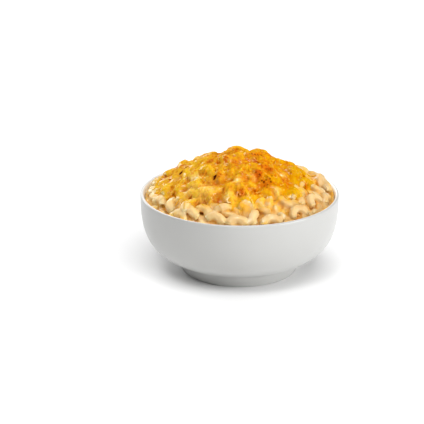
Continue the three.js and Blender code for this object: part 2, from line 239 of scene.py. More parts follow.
# Where the cheese lies thinner, or thicker if below none: x, y, the spread across and along, how
# much thinner its coat is there and how much deeper it sags
THINNER = (
    (7.5, 16.0, 4.5, 13.5, 1.0, 7.0),
    (-4.5, 12.0, 8.0, 14.0, 1.6, 3.0),
    (-65.0, 23.0, 8.0, 12.0, 2.0, 3.0),
    (-32.5, 22.0, 4.5, 12.0, -2.8, -2.4),
    (37.0, 12.0, 4.5, 14.0, -1.8, -1.5),
)

# Where the sauce and the cheese on it lie lower: x, y, the spread across and along, and how much
SUNK = (
    (-4.5, 12.0, 8.0, 14.0, 1.8),
    (4.0, 12.0, 3.5, 14.0, 1.2),
    (-66.5, 23.0, 6.5, 14.0, 1.5),
)

# Where the cheese ends further in or out: x, y, spread and how far out
EDGE_SHIFTS = (
    (20.0, -61.0, 10.0, -10.0),
    (35.0, -55.0, 7.0, -7.0),
    (-6.5, -63.5, 5.0, 6.0),
)

# Shreds of cheese that have half melted into it
SHREDS = 260
SHRED_LENGTH = (6.0, 22.0)
SHRED_RADIUS = (0.5, 0.95)
SHRED_STEP = 2.0
SHRED_BLEND = 0.4
SHRED_CURL = 0.05
SHRED_SPREAD_RADIUS = 72.0
SHRED_ANGLE_SPREAD = 0.3
SHRED_HEADING_SPREAD = 0.5
SHRED_OUTWARDS = 0.3  # share of the shreds at the edge that point outwards
SHRED_LIMIT = -4.0  # how far inside the cheese's edge they end; negative outside it
SHRED_DRAPE = (2.1, 0.3, 0.15)  # how far they reach over hollows, sink in and stand up
STRINGS = 34  # thin strings of cheese that run out over the pasta
STRING_RADIUS = (0.4, 0.6)
STRING_LENGTH = (12.0, 24.0)
STRING_CURL = 0.06
STRING_START = (2.0, 16.0)
STRING_SPREAD = 0.7
STRING_BEARINGS = (150.0, 115.0)  # the first one, and how far the others go on from it
STRING_LIMIT = -18.0
STRING_DRAPE = (1.8, 0.2, 0.35)
STRAND_REACH = 80.0  # the radius past which no shred or string goes
STRAND_TIP = 0.45  # share of its radius that it has at its ends
STRAND_SWELL = 0.3  # share that it gains with each step from there

# Browned patches of the cheese: x, y, spread and strength
BROWNED = (
    (-26.6, -9.2, 5.5, 0.75),
    (-51.5, 11.0, 6.0, 0.65),
    (-19.6, -56.0, 4.0, 0.8),
    (-12.2, -15.6, 4.5, 0.6),
    (-3.3, -20.5, 6.0, 0.7),
    (-3.4, 1.0, 5.0, 0.7),
    (16.2, -33.2, 6.0, 0.85),
    (25.1, -23.5, 6.5, 0.85),
    (19.8, -23.2, 5.0, 0.6),
    (4.7, -38.6, 5.0, 0.6),
    (40.3, -27.5, 5.0, 0.7),
    (-18.2, -34.1, 5.0, 0.6),
    (1.3, -55.5, 4.5, 0.75),
    (23.0, -40.0, 7.0, 0.7),
    (14.0, -4.0, 7.0, 0.65),
    (34.4, -4.0, 6.0, 0.5),
    (-24.0, 40.0, 12.0, 0.7),
    (20.0, 45.0, 12.0, 0.7),
)

# Burnt specks: x, y, spread and strength
SPECKS = (
    (-52.6, -3.2, 1.9, 1.0),
    (-52.9, -5.6, 1.8, 1.0),
    (-21.8, -34.1, 1.5, 1.0),
    (-23.4, -32.6, 1.3, 0.6),
    (9.2, -4.6, 1.2, 0.6),
    (11.0, -2.4, 1.2, 0.6),
    (13.7, -1.7, 1.35, 0.6),
    (14.5, -9.5, 1.1, 0.6),
    (16.4, 1.8, 1.2, 0.6),
    (19.2, 3.4, 1.2, 0.6),
    (17.1, -37.9, 1.0, 0.6),
    (18.0, -33.6, 1.0, 0.6),
    (19.7, -37.4, 1.3, 0.6),
    (21.5, -38.9, 1.4, 0.6),
    (23.2, -37.2, 1.3, 0.6),
    (26.8, -36.4, 1.2, 0.6),
    (27.6, -38.0, 1.1, 0.6),
    (21.5, -43.6, 0.9, 0.6),
    (24.1, -45.0, 0.9, 0.6),
    (25.0, -41.5, 0.9, 0.6),
    (28.6, -30.6, 0.9, 0.6),
)

# Spots where the cheese is thin and light in colour, the strongest of them near white as painted
# highlights: x, y, spread and strength
PALE_AND_HIGHLIGHTS = (
    (-2.3, -42.8, 2.7, 1.0),
    (-38.8, -25.0, 4.5, 1.0),
    (-42.4, -23.6, 3.0, 0.9),
    (36.9, -20.0, 3.2, 0.95),
    (32.8, -46.7, 3.0, 0.85),
    (-30.2, -47.8, 8.0, 0.6),
    (-43.6, -40.0, 6.0, 0.65),
    (-10.5, -58.0, 4.5, 0.8),
    (12.0, -35.3, 2.5, 0.75),
    (-38.2, 20.0, 5.0, 0.7),
)

# Noise: the size of its features in millimetres, and its seed
CHEESE_BROAD = (13.0, 1)
CHEESE_FINE = (5.0, 2)
CHEESE_LUMPS = (3.2, 3)
CHEESE_PIMPLES = (1.7, 7)
CHEESE_FOLDS = (6.0, 11)
CHEESE_SAG = (9.0, 12)
POOLS = (8.0, 4)
DRIPS = (2.8, 5)
GLAZE_NOISE = (6.0, 9)
BROWN_BROAD = (9.0, 5)
BROWN_FINE = (2.2, 6)
FRECKLES = (2.6, 13)
GRAINS = (1.3, 8)
# noise for the small dots of painted highlight
HIGHLIGHT_FLECKS = (1.9, 14)

# Grid on which the sauce and the cheese are worked out, and where it is coarse as nothing shows
VOXEL = 0.635
HIDDEN_CELL = 4.0
HIDDEN_DEPTH = 7.3
RELIEF_REACH = 4.2  # the reach of the average that relief is measured from
GRID_LOW = (-88.0, -88.0, 46.0)
GRID_HIGH = (88.0, 88.0, 121.0)


# ---- Small helpers


def draw(piece, use, low, high):
    """A fixed draw, evenly spread between two values.

    A use is only a number that keeps the draws for different things apart.
    """
    wave = math.sin(piece * 127.1 + use * 311.7 + SEED) * 43758.5453
    return low + (high - low) * (wave - math.floor(wave))


def stray(piece, use, reach):
    """A fixed draw of up to a reach either way."""
    return draw(piece, use, -reach, reach)


def smooth_step(low, high, value):
    t = np.clip((value - low) / (high - low), 0.0, 1.0)
    return t * t * (3.0 - 2.0 * t)


def new_object(name, data):
    obj = bpy.data.objects.new(name, data)
    bpy.context.scene.collection.objects.link(obj)
    return obj


def new_mesh(name, points_mm, *faces, smooth=True):
    """A mesh object in metres from points in millimetres and arrays of quads or triangles."""
    mesh = bpy.data.meshes.new(name)
    points = np.asarray(points_mm, dtype=np.float32) * MM
    faces = [np.asarray(rows, dtype=np.int32) for rows in faces]
    corners = np.concatenate([rows.ravel() for rows in faces])
    counts = np.concatenate([np.full(len(rows), rows.shape[1]) for rows in faces])
    mesh.vertices.add(len(points))
    mesh.vertices.foreach_set("co", points.ravel())
    mesh.loops.add(len(corners))
    mesh.loops.foreach_set("vertex_index", corners)
    mesh.polygons.add(len(counts))
    mesh.polygons.foreach_set("loop_start", (np.cumsum(counts) - counts).astype(np.int32))
    mesh.update(calc_edges=True)
    mesh.validate()
    mesh.polygons.foreach_set("use_smooth", np.full(len(mesh.polygons), smooth))
    return new_object(name, mesh)


def ring_quads(rings, sides):
    """Quads that join rings of points, which lie one after the other."""
    steps = np.arange(sides)
    after = (steps + 1) % sides
    rows = np.arange(rings - 1)[:, None] * sides
    quads = [rows + steps, rows + after, rows + sides + after, rows + sides + steps]
    return np.stack(quads, axis=-1).reshape(-1, 4)


def add_attribute(obj, name, values):
    layer = obj.data.attributes.new(name, "FLOAT", "POINT")
    layer.data.foreach_set("value", np.asarray(values, dtype=np.float32))


def field_noise(points, scale, seed):
    """Smooth noise between about -1 and 1 at each point, with features of about a scale."""
    offset = Vector((seed * 17.3, seed * 5.1, seed * 9.7))
    return np.array([noise.noise(Vector(p) / scale + offset) for p in points.tolist()])


# ---- Bowl


def belly_radius(depth):
    turn_in = 1.0 - (depth / BELLY_DEPTH) ** BELLY_DROP
    return RIM_RADIUS * max(turn_in, 0.0) ** (1.0 / BELLY_SQUARE)


def inner_radius(depth):
    depth = np.asarray(depth, dtype=float)
    turn_in = np.maximum(1.0 - (depth / INNER_DEPTH) ** BELLY_DROP, 0.0)
    thickening = np.minimum(depth / 10.0, 1.0) * (WALL_THICKNESS - LIP_THICKNESS)
    return (RIM_RADIUS - LIP_THICKNESS - thickening) * turn_in ** (1.0 / BELLY_SQUARE)


def wall_depths(start, end, full, count):
    def angle_at(depth):
        return math.asin((depth / full) ** (BELLY_DROP / 2.0))

    angles = np.linspace(angle_at(start), angle_at(end), count + 1)
    return full * np.sin(angles) ** (2.0 / BELLY_DROP)


def arc_points(centre, radius, start, end, count):
    angles = np.radians(np.linspace(start, end, count))
    return [(centre[0] + radius * math.cos(a), centre[1] + radius * math.sin(a)) for a in angles]


def curve_points(a, b, c, count):
    """A quadratic curve from a to c that leaves and arrives along the lines to b."""
    ts = np.linspace(0.0, 1.0, count)
    return [
        tuple((1 - t) ** 2 * p + 2 * t * (1 - t) * q + t**2 * r for p, q, r in zip(a, b, c))
        for t in ts
    ]


def bowl_profile():
    lip = LIP_THICKNESS / 2.0
    foot_inner = FOOT_RADIUS - FOOT_LAND
    joint = BOWL_HEIGHT - FOOT_HEIGHT
    profile = [(0.0, RECESS_DEPTH)]
    profile += arc_points((foot_inner - 2.0, RECESS_DEPTH - 2.0), 2.0, 90, 0, 6)
    profile += arc_points((foot_inner + 0.5, 0.5), 0.5, 180, 270, 5)
    profile += arc_points((FOOT_RADIUS - FOOT_ROUND, FOOT_ROUND), FOOT_ROUND, -90, -15, 8)
    belly_start = joint - FILLET * 0.6
    foot_top = (belly_radius(joint) - 1.4, FOOT_HEIGHT - FILLET)
    corner = (belly_radius(joint) - 0.4, FOOT_HEIGHT)
    belly = (belly_radius(belly_start), BOWL_HEIGHT - belly_start)
    profile += curve_points(foot_top, corner, belly, 9)[:-1]
    for depth in wall_depths(lip, belly_start, BELLY_DEPTH, 60)[::-1]:
        profile.append((belly_radius(depth), BOWL_HEIGHT - depth))
    profile += arc_points((RIM_RADIUS - lip, BOWL_HEIGHT - lip), lip, 10, 170, 14)
    for depth in wall_depths(lip, INNER_DEPTH, INNER_DEPTH, 48)[:-1]:
        profile.append((float(inner_radius(depth)), BOWL_HEIGHT - depth))
    profile.append((0.0, BOWL_HEIGHT - INNER_DEPTH))
    return np.array(profile)


def turned(name, profile, turns):
    """A surface of revolution whose profile starts and ends on the axis."""
    angles = np.arange(turns) * (2.0 * math.pi / turns)
    ring = profile[1:-1]
    x = ring[:, 0, None] * np.cos(angles)
    y = ring[:, 0, None] * np.sin(angles)
    z = np.repeat(ring[:, 1, None], turns, axis=1)
    points = np.stack([x, y, z], axis=-1).reshape(-1, 3)
    ends = np.array([[0.0, 0.0, profile[0, 1]], [0.0, 0.0, profile[-1, 1]]])
    steps = np.arange(turns)
    after = (steps + 1) % turns
    last = len(points) - turns
    low = np.stack([np.full(turns, len(points)), after, steps], axis=1)
    high = np.stack([np.full(turns, len(points) + 1), last + steps, last + after], axis=1)
    sides = ring_quads(len(ring), turns)
    return new_mesh(name, np.vstack([points, ends]), sides, np.vstack([low, high]))


# ---- Form of the heap


def heap_height(x, y):
    reach = np.hypot(x, y) / HEAP_RADIUS
    broad = np.sin(0.13 * x + 1.9) * np.cos(0.11 * y - 0.7)
    waves = broad + 0.6 * np.sin(0.21 * y + 0.08 * x)
    height = BOWL_HEIGHT + HEAP_EDGE + HEAP_RISE * (1.0 - reach**HEAP_POWER) + WAVE * waves
    for lump_x, lump_y, rise, spread in LUMPS:
        height = height + rise * np.exp(-((x - lump_x) ** 2 + (y - lump_y) ** 2) / spread**2)
    return height


def heap_normal(x, y):
    r = np.maximum(np.hypot(x, y), 1.0)
    slope = (HEAP_RISE * HEAP_POWER / HEAP_RADIUS) * (r / HEAP_RADIUS) ** (HEAP_POWER - 1.0)
    normal = np.stack([slope * x / r, slope * y / r, np.ones_like(r)], axis=-1)
    return normal / np.linalg.norm(normal, axis=-1, keepdims=True)


def height_over_heap(points):
    """Distance over the heap's surface, square to it."""
    x, y, z = points[..., 0], points[..., 1], points[..., 2]
    return (z - heap_height(x, y)) * heap_normal(x, y)[..., 2]


def towards(angle, bearing):
    """1 at a bearing given in degrees, falling to 0 square to it."""
    return np.maximum(np.cos(angle - math.radians(bearing)), 0.0)


def cheese_reach(angle):
    left = LEFT_REACH * towards(angle, LEFT_BEARING) ** 4
    wander = sum(size * np.sin(count * angle + phase) for size, count, phase in WANDER)
    return CHEESE_RADIUS + left + wander


def inside_cheese(x, y):
    """How far inside the cheese's edge, in millimetres; negative outside it."""
    return cheese_reach(np.arctan2(y, x)) - np.hypot(x, y)


# ---- Where the pieces of macaroni lie


def make_piece(x, y, lift, heading, roll, pitch, sweep):
    out = heap_normal(np.float64(x), np.float64(y))
    heading, roll, pitch = map(math.radians, (heading, roll, pitch))
    chord = np.array([math.cos(heading), math.sin(heading), 0.0])
    chord -= out * chord.dot(out)
    chord /= np.linalg.norm(chord)
    side = np.cross(out, chord)
    tilted = chord * math.cos(pitch) + out * math.sin(pitch)
    rise = np.cross(tilted, side)
    bulge = side * math.cos(roll) + rise * math.sin(roll)
    middle = np.array([x, y, float(heap_height(x, y))]) + out * lift
    return middle, tilted, bulge, math.radians(sweep)


def scattered_piece(i, count, lift):
    r = SPREAD_RADIUS * math.sqrt((i + 0.5) / count)
    r += stray(i, 0, RADIUS_SPREAD)
    angle = i * GOLDEN_ANGLE + stray(i, 1, ANGLE_SPREAD)
    heading = draw(i, 3, 0, 360)
    kind = draw(i, 4, 0, 1)
    low, high = next(row[1:] for row in ROLLS if kind <= row[0])
    roll = draw(i, 5, low, high)
    pitch = stray(i, 6, PITCH_SPREAD)
    sweep = SWEEP + stray(i, 7, SWEEP_SPREAD)
    return make_piece(r * math.cos(angle), r * math.sin(angle), lift, heading, roll, pitch, sweep)


def wall_piece(i, count=WALL_PIECES, deeper=0.0):
    """A piece that lies along the bowl's wall."""
    angle = (i + 0.5) * (2.0 * math.pi / count)
    angle += stray(i, 41, WALL_ANGLE_SPREAD)
    lift = draw(i, 42, *WALL_LIFT) - deeper
    heading = math.degrees(angle) + 90.0
    heading += stray(i, 43, WALL_HEADING_SPREAD)
    roll = draw(i, 44, *WALL_ROLL)
    pitch = stray(i, 45, PITCH_SPREAD)
    x, y = WALL_SPREAD * math.cos(angle), WALL_SPREAD * math.sin(angle)
    return make_piece(x, y, lift, heading, roll, pitch, SWEEP)


def outer_pieces():
    placed = [make_piece(*row) for row in PLACED]
    loose = []
    for i in range(PIECES):
        lift = draw(i, 2, *(LOWER_LIFT if i % 4 == 3 else OUTER_LIFT))
        loose.append((scattered_piece(i, PIECES, lift), draw(i, 8, *STANDS_OUT)))
    for i in range(WALL_PIECES):
        loose.append((wall_piece(i), 0.0))
    kept = [
        (piece, stand)
        for piece, stand in loose
        if min(np.linalg.norm(piece[0] - other[0]) for other in placed) >= CROWDED
    ]
    stands = [0.0] * len(placed) + [stand for _, stand in kept]
    return stacked(placed + [piece for piece, _ in kept]), len(placed), np.array(stands)


def stacked(pieces):
    return tuple(np.array([piece[part] for piece in pieces]) for part in range(4))


def arc_offset(sweep):
    return BEND_RADIUS * np.sin(sweep / 2.0) / (sweep / 2.0)


def beads_of(middle, chord, bulge, sweep):
    turn = sweep[:, None] * ((np.arange(BEADS) + 0.5) / BEADS - 0.5)
    along = BEND_RADIUS * np.sin(turn)
    over = BEND_RADIUS * np.cos(turn) - arc_offset(sweep)[:, None]
    return middle[:, None] + along[..., None] * chord[:, None] + over[..., None] * bulge[:, None]


def pushes_on(middle, beads, fixed, stands, shell):
    """How far each bead has to move to clear the other pieces, the wall and the shell."""
    pushes = np.zeros_like(beads)
    apart = np.linalg.norm(middle[:, None] - middle[None], axis=-1)
    near = np.triu(apart < 2.0 * (BEND_RADIUS + TUBE_RADIUS) + 2.0 * TUBE_RADIUS, 1)
    near &= ~(fixed[:, None] & fixed[None])
    first, second = np.nonzero(near)
    gap = beads[first][:, :, None] - beads[second][:, None]
    distance = np.maximum(np.linalg.norm(gap, axis=-1), 1e-6)
    step = gap * (np.maximum(2.0 * TUBE_RADIUS - distance, 0.0) / distance)[..., None]
    share_first = np.where(fixed[second], 1.0, 0.5)[:, None, None]
    share_second = np.where(fixed[first], 1.0, 0.5)[:, None, None]
    np.add.at(pushes, first, step.sum(axis=2) * share_first)
    np.add.at(pushes, second, -step.sum(axis=1) * share_second)
    x, y, z = beads[..., 0], beads[..., 1], beads[..., 2]
    height = height_over_heap(beads)
    proud = np.maximum(height + TUBE_RADIUS + shell[0] - stands[:, None], 0.0)
    sunk = np.maximum(-shell[1] + TUBE_RADIUS - height, 0.0)
    pushes += heap_normal(x, y) * (sunk - proud)[..., None]
    r = np.hypot(x, y)
    depth = np.maximum(BOWL_HEIGHT - z, LIP_THICKNESS / 2.0)
    room = inner_radius(depth) - TUBE_RADIUS - GAP - WALL_ROOM
    inwards = np.where(r > room, room / r - 1.0, 0.0)
    pushes[..., 0] += x * inwards
    pushes[..., 1] += y * inwards
    return pushes


def rotated(vectors, axis, angle):
    cos, sin = np.cos(angle)[:, None], np.sin(angle)[:, None]
    along = (vectors * axis).sum(axis=1, keepdims=True)
    return vectors * cos + np.cross(axis, vectors) * sin + axis * along * (1.0 - cos)


def settle(pieces, fixed_count, stands, shell, steps):
    """Moves and turns the loose pieces until they lie beside each other in the shell."""
    middle, chord, bulge, sweep = pieces
    fixed = np.arange(len(middle)) < fixed_count
    for _ in range(steps):
        beads = beads_of(middle, chord, bulge, sweep)
        pushes = pushes_on(middle, beads, fixed, stands, shell)
        touched = ((pushes**2).sum(axis=-1) >= 1e-12) & ~fixed[:, None]
        pushes = np.where(touched[..., None], pushes, 0.0)
        arms = beads - middle[:, None]
        count = np.maximum(touched.sum(axis=1), 2)
        inertia = SPIN_INERTIA + ((arms**2).sum(axis=-1) * touched).sum(axis=1)
        turn = np.cross(arms, pushes).sum(axis=1) / inertia[:, None]
        angle = np.linalg.norm(turn, axis=1)
        axis = turn / np.maximum(angle, 1e-9)[:, None]
        middle = middle + pushes.sum(axis=1) * (SETTLING_RATE / count)[:, None]
        chord = rotated(chord, axis, angle)
        bulge = rotated(bulge, axis, angle)
    return middle, chord, bulge, sweep


def under_pieces(outer):
    """The second layer, which settles under the outer pieces and into the gaps."""
    rows = []
    for i in range(UNDER_PIECES):
        lift = draw(i, 22, *UNDER_LIFT)
        rows.append(scattered_piece(i + UNDER_SHIFT, UNDER_PIECES, lift))
    for i in range(UNDER_WALL_PIECES):
        rows.append(wall_piece(i + UNDER_WALL_SHIFT, UNDER_WALL_PIECES, UNDER_WALL_DEEPER))
    both = tuple(np.concatenate(parts) for parts in zip(outer, stacked(rows)))
    count = len(outer[0])
    stands = np.zeros(len(both[0]))
    stands[-UNDER_WALL_PIECES:] = UNDER_WALL_STANDS
    settled = settle(both, count, stands, UNDER_SHELL, UNDER_STEPS)
    return tuple(part[count:] for part in settled)


# ---- Macaroni meshes


def form_of(index):
    """How flat and how thick one piece is, and where its ridges lie."""
    squash = draw(index, 11, *SQUASH)
    girth = draw(index, 12, *GIRTH)
    return squash, girth, draw(index, 13, 0.0, 2.0 * math.pi)


def tube_profile(length):
    """Radius and place along a straight tube with rounded rims and a hollow in each end."""
    rim = (TUBE_RADIUS - HOLE_RADIUS) / 2.0
    centre = HOLE_RADIUS + rim
    start = [(0.25, HOLE_DEPTH), (HOLE_RADIUS * 0.9, HOLE_DEPTH - 0.4), (HOLE_RADIUS, rim)]
    start += [(centre - rim * math.cos(a), rim * (1 - math.sin(a))) for a in RIM_ANGLES]
    body = [(TUBE_RADIUS, t) for t in np.linspace(rim, length - rim, TUBE_RINGS)]
    end = [(r, length - t) for r, t in reversed(start)]
    return np.array(start + body + end)


def tube_mesh_arrays(piece, index):
    """One bent tube: points and quads, uneven in girth and slightly squashed."""
    middle, chord, bulge, sweep = piece
    length = BEND_RADIUS * sweep
    profile = tube_profile(length)
    across = np.cross(chord, bulge)
    turn = (profile[:, 1] / length - 0.5) * sweep
    angles = np.arange(TUBE_SIDES) * (2.0 * math.pi / TUBE_SIDES)
    squash, girth, phase = form_of(index)
    ridges = RIDGE_HEIGHT * np.cos(RIDGES * angles + phase) * (profile[:, 0, None] > HOLE_RADIUS)
    radius = profile[:, 0, None] * girth + ridges
    outwards = radius * np.cos(angles)
    sideways = radius * np.sin(angles) * squash
    along = (BEND_RADIUS + outwards) * np.sin(turn)[:, None]
    over = (BEND_RADIUS + outwards) * np.cos(turn)[:, None] - arc_offset(sweep)
    points = middle + along[..., None] * chord + over[..., None] * bulge
    points = points + sideways[..., None] * across
    return points.reshape(-1, 3), ring_quads(len(profile), TUBE_SIDES)


# ---- Distance fields: sauce and cheese cling to the pieces


def grid_axes():
    return [np.arange(lo, hi, VOXEL) for lo, hi in zip(GRID_LOW, GRID_HIGH)]


def tube_distance(points, piece, form, shorten):
    """Distance from points to the surface of a bent tube with round ends."""
    middle, chord, bulge, sweep = piece
    squash, girth, phase = form
    half = sweep / 2.0 - shorten * TUBE_RADIUS / BEND_RADIUS
    rel = points - middle
    along = rel @ chord
    over = rel @ bulge + arc_offset(sweep)
    across = rel @ np.cross(chord, bulge) / squash
    angle = np.clip(np.arctan2(along, over), -half, half)
    in_plane = np.hypot(along - BEND_RADIUS * np.sin(angle), over - BEND_RADIUS * np.cos(angle))
    around = np.arctan2(across, np.hypot(along, over) - BEND_RADIUS)
    radius = TUBE_RADIUS * girth + RIDGE_HEIGHT * np.cos(RIDGES * around + phase)
    return np.hypot(in_plane, across) - radius


def add_tubes(fields, axes, pieces, first):
    """Adds each piece to the exponential sums that blend the tubes together.

    Each field comes with its blend and with how much shorter the tubes are in it, for pieces
    whose ends are filled with sauce and for open ones.
    """
    reach = 2.0 * TUBE_RADIUS + 3.0
    for k in range(len(pieces[3])):
        piece = tuple(part[k] for part in pieces)
        form = form_of(first + k)
        is_open = draw(first + k, 15, 0.0, 1.0) < OPEN_SHARE
        turn = np.linspace(-0.5, 0.5, 9) * piece[3]
        arc = piece[0] + np.outer(BEND_RADIUS * np.sin(turn), piece[1])
        arc = arc + np.outer(BEND_RADIUS * np.cos(turn) - arc_offset(piece[3]), piece[2])
        spans = []
        for axis, low, high in zip(axes, arc.min(axis=0) - reach, arc.max(axis=0) + reach):
            spans.append(slice(*np.searchsorted(axis, (low, high))))
        box = np.meshgrid(*(axis[span] for axis, span in zip(axes, spans)), indexing="ij")
        points = np.stack(box, axis=-1).astype(np.float32)
        for field, blend, ends in fields:
            distance = tube_distance(points, piece, form, ends[is_open])
            field[tuple(spans)] += np.exp(-distance / blend)


def mean_crossing(values, corner):
    """Where the zero level crosses the edges of each cell on average, within the cell."""
    total = np.zeros((len(values[0]), 3))
    crossings = np.zeros(len(values[0]))
    for a in range(8):
        for b in range(a + 1, 8):
            if np.abs(corner[a] - corner[b]).sum() != 1:
                continue
            crossed = (values[a] < 0.0) != (values[b] < 0.0)
            span = np.where(crossed, values[a] - values[b], 1.0)
            t = values[a] / span
            point = corner[a] + t[:, None] * (corner[b] - corner[a])
            total += np.where(crossed[:, None], point, 0.0)
            crossings += crossed
    return total / crossings[:, None]


def crossing_quads(inside, index, axis):
    """A quad between the four cells round each of an axis's edges that the surface crosses."""
    here = [slice(1, n - 1) for n in inside.shape]
    here[axis] = slice(0, inside.shape[axis] - 1)
    ahead = list(here)
    ahead[axis] = slice(1, inside.shape[axis])
    start, end = inside[tuple(here)], inside[tuple(ahead)]
    edges = np.argwhere(start != end)
    leaving = start[tuple(edges.T)]
    base = edges + [0 if a == axis else 1 for a in range(3)]
    u, v = (step for a, step in enumerate(np.eye(3, dtype=int)) if a != axis)
    ring = [base - u - v, base - v, base, base - u]
    quads = np.stack([index[tuple(r.T)] for r in ring], axis=1)
    if axis == 1:
        leaving = ~leaving
    quads[~leaving] = quads[~leaving][:, ::-1]
    return quads


def surface_of(field, axes):
    """Surface nets: one point in each cell that the zero level crosses, quads between them."""
    inside = field < 0.0
    shape = np.array(field.shape)
    corner = [np.array(c) for c in np.ndindex(2, 2, 2)]
    spans = [tuple(slice(c[a], shape[a] - 1 + c[a]) for a in range(3)) for c in corner]
    count = sum(inside[span].astype(np.int8) for span in spans)
    cells = np.argwhere((count > 0) & (count < 8))
    index = np.full(shape - 1, -1, dtype=np.int64)
    index[tuple(cells.T)] = np.arange(len(cells))
    local = mean_crossing([field[tuple((cells + c).T)] for c in corner], corner)
    points = np.array([axis[0] for axis in axes]) + (cells + local) * VOXEL
    return points, np.vstack([crossing_quads(inside, index, axis) for axis in range(3)])


def coarsened(points, quads, hidden):
    """Triangles of a surface, with the points that nobody sees merged cell by cell."""
    cell = np.floor(points / HIDDEN_CELL).astype(np.int64) + 100
    key = (cell[:, 0] * 1000 + cell[:, 1]) * 1000 + cell[:, 2]
    key[~hidden] = -1 - np.arange(np.count_nonzero(~hidden))
    _, merged_to = np.unique(key, return_inverse=True)
    merged = np.stack([np.bincount(merged_to, points[:, a]) for a in range(3)], axis=1)
    merged /= np.bincount(merged_to)[:, None]
    triangles = merged_to[np.vstack([quads[:, [0, 1, 2]], quads[:, [0, 2, 3]]])]
    a, b, c = triangles.T
    return merged, triangles[(a != b) & (b != c) & (c != a)]


def build_fields(outer, under):
    """Distance to the sauced heap and to the cheese, on a grid over the heap."""
    axes = grid_axes()
    shape = [len(axis) for axis in axes]
    sauce = np.zeros(shape, dtype=np.float32)
    cheese = np.zeros(shape, dtype=np.float32)
    fields = ((sauce, SAUCE_BLEND, SAUCE_ENDS), (cheese, CHEESE_BLEND, CHEESE_ENDS))
    add_tubes(fields, axes, outer, 0)
    add_tubes(fields, axes, under, FIRST_UNDER)
    x, y = np.meshgrid(axes[0], axes[1], indexing="ij")
    surface = heap_height(x, y)
    slope = heap_normal(x, y)[..., 2]
    z = axes[2][None, None]
    over = ((z - surface[..., None]) * slope[..., None]).astype(np.float32)
    brim = smooth_step(*BRIM, np.hypot(x, y))[..., None]
    core = over + CORE_DEPTH + (WALL_CORE_DEPTH - CORE_DEPTH) * brim
    r = np.hypot(x, y)[..., None]
    wall = r - inner_radius(np.clip(BOWL_HEIGHT - z, LIP_THICKNESS / 2.0, DEEPEST)) + GAP
    film = wall + WALL_FILM - WALL_FILM_END * smooth_step(*WALL_FILM_FADE, over)
    sauce += np.exp(-np.clip(core, -20, 20) / SAUCE_BLEND)
    sauce += np.exp(np.clip(film, -20, 20) / SAUCE_BLEND)
    cheese += np.exp(-np.clip(core, -20, 20) / CHEESE_BLEND)
    sauce = -SAUCE_BLEND * np.log(np.maximum(sauce, 1e-12))
    cheese = -CHEESE_BLEND * np.log(np.maximum(cheese, 1e-12))
    return axes, x, y, over, sauce, cheese, wall


def flat_noise(x, y, scale, seed):
    """Noise that depends on x and y alone, as an array of their shape."""
    points = np.stack([x, y, np.zeros_like(x)], axis=-1).reshape(-1, 3)
    return field_noise(points, scale, seed).reshape(x.shape)


def dent(x, y, dent_x, dent_y, across, along):
    return np.exp(-(((x - dent_x) / across) ** 2) - ((y - dent_y) / along) ** 2)


def sauce_coat(x, y):
    """Sauce over the blended tubes, which pools in places."""
    pools = SAUCE_POOLS * flat_noise(x, y, *POOLS)
    coat = SAUCE_COAT + pools + SAUCE_DRIPS * flat_noise(x, y, *DRIPS)
    for *place, depth in SUNK:
        coat -= depth * dent(x, y, *place)
    return coat


def sauce_solid(axes, x, y, sauce, wall):
    floor = (GRID_LOW[2] + 2.0 * VOXEL) - axes[2][None, None]
    return np.maximum(np.maximum(sauce - sauce_coat(x, y)[..., None], wall), floor)


def visible_surface(solid, cover, axes, depth):
    """The surface of a solid, coarse where it lies deep or within what covers it."""
    points, quads = surface_of(solid.astype(np.float32), axes)
    column = [np.rint((points[:, a] - axes[a][0]) / VOXEL).astype(int) for a in range(3)]
    covered = cover[tuple(np.clip(c, 0, len(axes[a]) - 1) for a, c in enumerate(column))] < -VOXEL
    return coarsened(points, quads, covered | (height_over_heap(points) < -depth))


def cheese_thickness(x, y):
    """Cheese over the pieces, thinning into runs at its edge, and how deep it sags."""
    broad = flat_noise(x, y, *CHEESE_BROAD)
    fine = flat_noise(x, y, *CHEESE_FINE)
    left = towards(np.arctan2(y, x), RUNS_BEARING) ** 3
    edge = inside_cheese(x, y) + 6.0 * broad + 4.0 * fine + RUNS_REACH * left
    for shift_x, shift_y, spread, out in EDGE_SHIFTS:
        edge += out * np.exp(-((x - shift_x) ** 2 + (y - shift_y) ** 2) / spread**2)
    middle = smooth_step(*CHEESE_FEATHER, edge)
    lumps = 0.45 * flat_noise(x, y, *CHEESE_LUMPS) + 0.25 * flat_noise(x, y, *CHEESE_PIMPLES)
    folds = 0.6 - 1.5 * np.abs(flat_noise(x, y, *CHEESE_FOLDS))
    uneven = (0.4 * broad + 0.3 * fine + lumps + 0.45 * folds) * middle
    least = sauce_coat(x, y) - EDGE_FALL * (1.0 - middle)
    coat = least + CHEESE_COAT * middle + uneven
    sheet = SHEET_DEPTH + SHEET_SAG * (flat_noise(x, y, *CHEESE_SAG) - 0.6 * fine) - uneven
    for *place, thinner, deeper in THINNER:
        coat -= thinner * dent(x, y, *place)
        sheet += deeper * dent(x, y, *place)
    coat = np.maximum(coat, least + CHEESE_FILM * middle)
    return coat, sheet + SHEET_RIM_SAG * (1.0 - smooth_step(0.0, SHEET_RIM, edge))


def top_surface(solid, axes):
    """Height of the outermost surface in each upright column of the grid."""
    inside = solid < 0.0
    last = inside.shape[2] - 1 - np.argmax(inside[:, :, ::-1], axis=2)
    last = np.minimum(last, inside.shape[2] - 2)
    here = np.take_along_axis(solid, last[..., None], 2)[..., 0]
    above = np.take_along_axis(solid, last[..., None] + 1, 2)[..., 0]
    part = np.where(above != here, here / np.where(above != here, here - above, 1.0), 0.0)
    height = axes[2][last] + np.clip(part, 0.0, 1.0) * VOXEL
    return np.where(inside.any(axis=2), height, axes[2][0])


